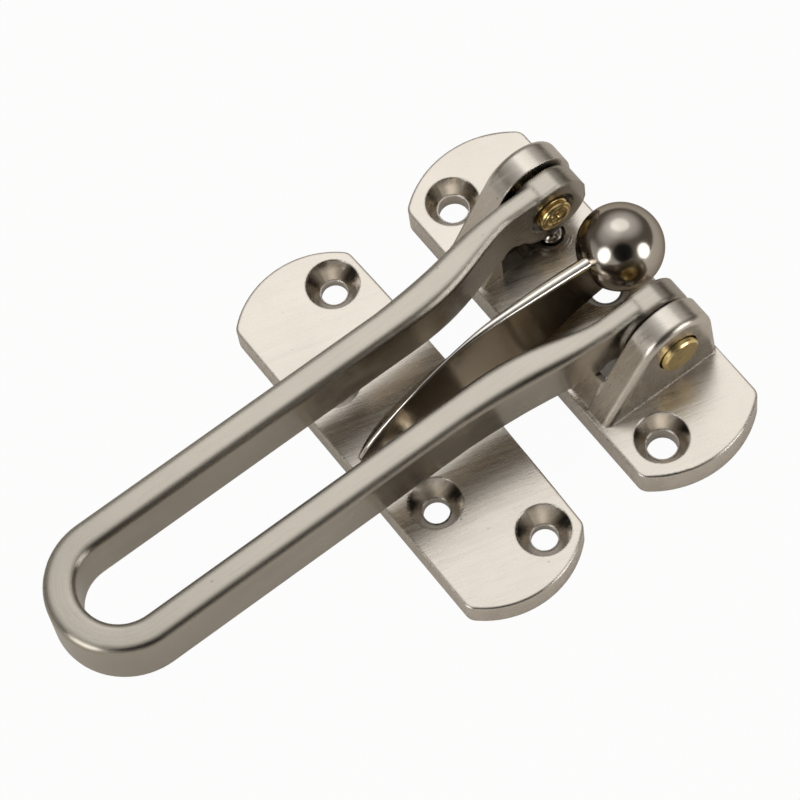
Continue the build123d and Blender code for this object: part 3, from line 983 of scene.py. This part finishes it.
def turned_mesh(name: str, profile: list[Span], axis: Span, side: Side,
                steps: int = 96) -> bpy.types.Mesh:
    """Turn a closed outline round a line along Y.

    Args:
        name: the mesh's name.
        profile: distance from the middle plane and radius of each point, from the inner end out.
        axis: X and Z of the line.
        side: the side of the guard that it stands on.
        steps: corners round the line.

    Returns:
        The mesh, with smooth faces and sharp rims.
    """
    rings = profile[1:-1]
    turns = [2 * math.pi * i / steps for i in range(steps)]
    points = [(axis[0] + r * math.cos(a), side.value * y, axis[1] + r * math.sin(a))
              for y, r in rings for a in turns]
    points += [(axis[0], side.value * y, axis[1]) for y, _ in (profile[0], profile[-1])]
    inner, outer = len(points) - 2, len(points) - 1
    last = (len(rings) - 1) * steps
    faces = []
    for i in range(steps):
        j = (i + 1) % steps
        faces += [(k * steps + i, k * steps + j, (k + 1) * steps + j, (k + 1) * steps + i)
                  for k in range(len(rings) - 1)]
        faces += [(inner, j, i), (outer, last + i, last + j)]
    mesh = bpy.data.meshes.new(name)
    mesh.from_pydata(points, [], faces)
    shape = bmesh.new()
    shape.from_mesh(mesh)
    bmesh.ops.recalc_face_normals(shape, faces=shape.faces)
    shape.to_mesh(mesh)
    shape.free()
    smooth(mesh)
    mesh.set_sharp_from_angle(angle=SHARP_ANGLE)
    return mesh


@dataclass
class PivotPins:
    """The two brass pivot pins: ringed and peened inside, with a chamfered head outside.

    The rings are pairs of depth from the pin's inner end and radius, in millimetres.
    """

    head_past_cad: float = 0.525 * MM
    head_stands_out: float = 1.05 * MM
    chamfer: float = 0.3 * MM
    head_radius: float = 3.4 * MM
    head_length: float = 1.6 * MM
    face_share: float = 0.55
    radius: float = 2.98 * MM
    rings: tuple[Span, ...] = (
        (1.0, 0.0), (0.95, 0.62), (0.35, 0.72), (0.12, 0.86), (0.06, 1.05), (0.12, 1.24),
        (0.4, 1.36), (0.4, 1.52), (0.12, 1.66), (0.0, 1.9), (0.0, 2.16), (0.12, 2.42),
        (0.3, 2.5), (0.3, 2.6), (0.2, 2.68), (0.24, 2.86), (0.42, 2.98), (0.72, 2.98),
        (0.84, 2.86), (0.9, 2.5), (1.2, 2.5), (1.26, 2.84), (1.4, 2.98))
    colour: Colour = (0.98, 0.77, 0.37, 1.0)
    tarnish: Colour = (0.62, 0.45, 0.18, 1.0)
    roughness: Span = (0.18, 0.32)

    def _profile(self, near: float, far: float) -> list[Span]:
        """The outline of a pin.

        Args:
            near: distance of the CAD pin's inner end from the middle plane.
            far: distance of its outer end.

        Returns:
            Distance from the middle plane and radius of each point.
        """
        end = far + self.head_past_cad
        under_head = end - self.head_stands_out - self.head_length
        return [(near + depth * MM, radius * MM) for depth, radius in self.rings] + [
            (under_head, self.radius), (under_head, self.head_radius),
            (end - self.chamfer, self.head_radius), (end, self.head_radius - self.chamfer),
            (end, self.face_share * self.head_radius), (end, 0.0)]

    def build(self, groups: GroupKit) -> None:
        """Make each pin in the place of its CAD node.

        Args:
            groups: the shared node groups.
        """
        for side in Side:
            node = f"pivot_pin_{side.label}"
            name = f"turned_pin_{side.label}"
            low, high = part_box(node)
            centre = middle(node)
            profile = self._profile(*sorted((abs(low.y), abs(high.y))))
            mesh = turned_mesh(name, profile, (centre.x, centre.z), side)
            brass = TurnedMetal(Slot.BRASS, self.colour, self.tarnish, tuple(centre),
                                lies_along_y=True, roughness=self.roughness)
            mesh.materials.append(brass.build(groups))
            pin = put(name, mesh)
            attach(pin, "base")
            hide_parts(node)
            LOG.info("%s: %d faces", name, len(mesh.polygons))


@dataclass
class HingeHalf:
    """The hinge plate with its pins and detents."""

    pair_x: float = -5.0 * MM
    pair_side: float = 27.45 * MM
    middle_x: float = 5.2 * MM

    def build(self, groups: GroupKit) -> None:
        """Dress the plate, the collars and the plungers, and make the pins and the springs.

        Args:
            groups: the shared node groups.
        """
        seats = ((self.pair_x, self.pair_side), (self.middle_x, 0.0))
        dress("hinge_plate", SatinNickel(seats=seats).build(groups, "hinge_satin_nickel"))
        for side in Side:
            detent = tuple(middle(f"detent_collar_{side.label}"))
            collar = TurnedMetal(Slot.TURNED, colour=(0.66, 0.62, 0.57, 1.0),
                                 tarnish=(0.4, 0.36, 0.32, 1.0), centre=detent,
                                 roughness=(0.14, 0.26), relief=0.015 * MM)
            dress(f"detent_collar_{side.label}", collar.build(groups))
            plunger = TurnedMetal(Slot.BRIGHT, colour=(0.6, 0.57, 0.54, 1.0),
                                  tarnish=(0.4, 0.37, 0.35, 1.0), centre=detent,
                                  roughness=(0.16, 0.22), relief=0.0005 * MM)
            dress(f"detent_plunger_{side.label}", plunger.build(groups))
        PivotPins().build(groups)
        coil, wire = coil_tree(), SpringWire().build(groups)
        for side in Side:
            DetentSpring(side, coil, wire).build()


def bearing(azimuth: float, elevation: float) -> Vector:
    """Unit vector in a direction.

    Args:
        azimuth: degrees from +X towards +Y.
        elevation: degrees above the table.

    Returns:
        The vector.
    """
    turn, rise = math.radians(azimuth), math.radians(elevation)
    return Vector((math.cos(rise) * math.cos(turn), math.cos(rise) * math.sin(turn),
                   math.sin(rise)))


@dataclass
class PhotoCamera:
    """The camera at the photograph's place, in millimetres and degrees from the row frame."""

    target: Point = (-32.119, 6.365, 0.0)
    azimuth: float = 242.473
    elevation: float = 64.095
    distance: float = 603.51
    roll: float = -10.403
    lens: float = 168.1
    clip: Span = (0.01, 50.0)

    def build(self) -> None:
        """Make the camera and use it."""
        back = bearing(self.azimuth, self.elevation)
        right = (-back).cross(Vector((0.0, 0.0, 1.0))).normalized()
        up = right.cross(-back)
        tilt = math.radians(self.roll)
        across = math.cos(tilt) * right + math.sin(tilt) * up
        above = -math.sin(tilt) * right + math.cos(tilt) * up
        data = bpy.data.cameras.new("photo_camera")
        data.lens = self.lens
        data.clip_start, data.clip_end = self.clip
        camera = put("photo_camera", data)
        place = (Vector(self.target) + self.distance * back) * MM
        turned = Matrix((across, above, back)).transposed().to_4x4()
        camera.matrix_world = Matrix.Translation(place) @ turned
        bpy.context.scene.camera = camera


@dataclass(frozen=True)
class Glow:
    """A soft bright patch of the surroundings: full inside one angle, gone past another."""

    azimuth: float
    elevation: float
    inner: float
    outer: float
    level: float

    def build(self, tree: Tree, direction: Socket) -> Socket:
        """Add the nodes of the patch.

        Args:
            tree: the world's tree.
            direction: socket of the direction looked in.

        Returns:
            The patch's light level.
        """
        towards = tuple(bearing(self.azimuth, self.elevation))
        near = tree.vector("DOT_PRODUCT", direction, towards, out="Value")
        limits = {"Value": near, "From Min": math.cos(math.radians(self.outer)),
                  "From Max": math.cos(math.radians(self.inner)), "To Min": 0.0,
                  "To Max": self.level}
        return tree.add("ShaderNodeMapRange", limits,
                        interpolation_type="SMOOTHSTEP").outputs["Result"]


@dataclass(frozen=True)
class Softbox:
    """One lamp: a lit oval that faces the object, with a level that is the same at any size."""

    name: str
    azimuth: float
    elevation: float
    distance: float
    width: float
    height: float
    level: float

    def build(self, centre: Vector) -> None:
        """Hang the lamp and aim it.

        Args:
            centre: the point that it faces.
        """
        out = bearing(self.azimuth, self.elevation)
        data = bpy.data.lights.new(self.name, "AREA")
        data.shape = "ELLIPSE"
        data.size, data.size_y = self.width, self.height
        face = self.width * self.height * (math.pi / 4)
        data.energy = self.level * math.pi * face
        lamp = put(self.name, data)
        lamp.location = centre + out * self.distance
        lamp.rotation_mode = "QUATERNION"
        lamp.rotation_quaternion = out.to_track_quat("Z", "Y")
        lamp.visible_camera = False


@dataclass
class Studio:
    """The table, the lamps, the dark card by the lens and the surroundings."""

    centre: Point = (-0.032, 0.0, 0.01)
    lamps: tuple[Softbox, ...] = (
        Softbox("top_softbox", 47.0, 58.0, 0.75, 0.56, 0.5, 0.66),
        Softbox("left_softbox", 186.0, 28.0, 0.8, 0.46, 0.6, 2.4),
        Softbox("right_softbox", -57.0, 17.0, 0.8, 0.44, 0.52, 2.4),
    )
    glows: tuple[Glow, ...] = (
        Glow(42.0, 56.0, 8.0, 52.0, 0.55),
        Glow(157.0, 4.0, 8.0, 32.0, 0.3),
        Glow(120.0, 62.0, 5.0, 38.0, 0.35),
        Glow(222.0, 6.0, 10.0, 42.0, 0.35),
    )
    surround: Colour = (0.1, 0.088, 0.074, 1.0)
    card_azimuth: float = 247.0
    card_elevation: float = 46.0
    card_distance: float = 0.62
    card_radius: float = 0.30
    card_steps: int = 48
    card_level: float = 0.004
    table_half: float = 4.0
    table_colour: Colour = (0.86, 0.81, 0.74, 1.0)
    white_to_camera: float = 0.96
    white_to_gloss: float = 0.12
    white_to_glass: float = 0.8
    # Painted shadow: the strip of Y where the table loses its white under the hinge plate.
    painted_shadow_y: Span = (9.0 * MM, 21.0 * MM)

    def _card(self) -> None:
        """Hang the dark card on the camera's side, which the polished parts mirror."""
        back = bearing(self.card_azimuth, self.card_elevation)
        turned = back.to_track_quat("Z", "Y").to_matrix()
        centre = Vector(self.centre) + back * self.card_distance
        turns = [2 * math.pi * i / self.card_steps for i in range(self.card_steps)]
        ring = [centre + turned @ Vector((math.cos(a) * self.card_radius,
                                          math.sin(a) * self.card_radius, 0.0))
                for a in turns]
        mesh = bpy.data.meshes.new("lens_card")
        mesh.from_pydata([tuple(p) for p in ring], [], [tuple(range(self.card_steps))])
        material, tree = blank_material("lens_card_black")
        black = tree.add("ShaderNodeEmission", {"Color": grey(self.card_level), "Strength": 1.0})
        tree.add("ShaderNodeOutputMaterial", {"Surface": black.outputs["Emission"]})
        mesh.materials.append(material)
        card = put("lens_card", mesh)
        card.visible_camera = False
        card.visible_shadow = False
        card.visible_diffuse = False

    def _table(self) -> None:
        """Lay the pale table, which is white to the camera and keeps a soft shadow, with a
        painted shadow under the hinge plate's far side.
        """
        half = self.table_half
        mesh = bpy.data.meshes.new("table")
        mesh.from_pydata([(-half, -half, 0), (half, -half, 0), (half, half, 0), (-half, half, 0)],
                         [], [(0, 1, 2, 3)])
        material, tree = blank_material("table_pale")
        diffuse = tree.add("ShaderNodeBsdfDiffuse", {"Color": self.table_colour})
        white = tree.add("ShaderNodeEmission", {"Color": grey(1.0), "Strength": 1.0})
        path = tree.add("ShaderNodeLightPath").outputs
        seen = tree.math("MULTIPLY", path["Is Camera Ray"], self.white_to_camera)
        seen = tree.math("MULTIPLY_ADD", path["Is Glossy Ray"], self.white_to_gloss, seen)
        # Painted shadow: the table's white is taken away under the hinge plate's far side.
        seen = tree.math("MULTIPLY", seen, self._white_outside_painted_shadow(tree))
        seen = tree.math("MULTIPLY_ADD", path["Is Transmission Ray"], self.white_to_glass, seen,
                         clamp=True)
        both = tree.add("ShaderNodeMixShader", {
            0: seen, 1: diffuse.outputs["BSDF"], 2: white.outputs["Emission"]})
        tree.add("ShaderNodeOutputMaterial", {"Surface": both.outputs["Shader"]})
        mesh.materials.append(material)
        put("table", mesh)

    def _white_outside_painted_shadow(self, tree: Tree) -> Socket:
        """Share of the white that the table keeps: none in a painted shadow under the hinge
        plate's far side.

        Args:
            tree: the table's tree.

        Returns:
            0 in that strip of Y under the plate, and 1 elsewhere.
        """
        place = tree.add("ShaderNodeTexCoord").outputs["Object"]
        axes = tree.add("ShaderNodeSeparateXYZ", {"Vector": place}).outputs
        low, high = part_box("hinge_plate")
        within = [tree.math("MULTIPLY", tree.math("GREATER_THAN", axes[name], start),
                            tree.math("LESS_THAN", axes[name], end))
                  for name, (start, end) in (("X", (low.x, high.x)), ("Y", self.painted_shadow_y))]
        return tree.math("SUBTRACT", 1.0, tree.math("MULTIPLY", *within))

    def _world(self) -> None:
        """Make the surroundings: white to the camera, dim to everything else."""
        world = bpy.data.worlds.new("studio")
        world.use_nodes = True
        world.node_tree.nodes.clear()
        tree = Tree(world.node_tree)
        path = tree.add("ShaderNodeLightPath").outputs
        seen = tree.math("MAXIMUM", path["Is Camera Ray"], path["Is Transmission Ray"])
        direction = tree.add("ShaderNodeTexCoord").outputs["Generated"]
        glow: object = 0.0
        for patch in self.glows:
            glow = tree.math("ADD", glow, patch.build(tree, direction), clamp=True)
        around = tree.mix(glow, self.surround, grey(1.0))
        colour = tree.mix(seen, around, grey(1.0))
        background = tree.add("ShaderNodeBackground", {"Color": colour, "Strength": 1.0})
        tree.add("ShaderNodeOutputWorld", {"Surface": background.outputs["Background"]})
        bpy.context.scene.world = world

    def build(self) -> None:
        """Set up the studio."""
        self._table()
        self._card()
        self._world()
        for lamp in self.lamps:
            lamp.build(Vector(self.centre))
        bpy.context.scene.view_settings.view_transform = "Standard"


def main() -> None:
    """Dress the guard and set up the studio."""
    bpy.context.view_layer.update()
    groups = GroupKit()
    SwingBar().build(groups)
    StrikeHalf().build(groups)
    HingeHalf().build(groups)
    PhotoCamera().build()
    Studio().build()


if __name__ == "__main__":
    main()
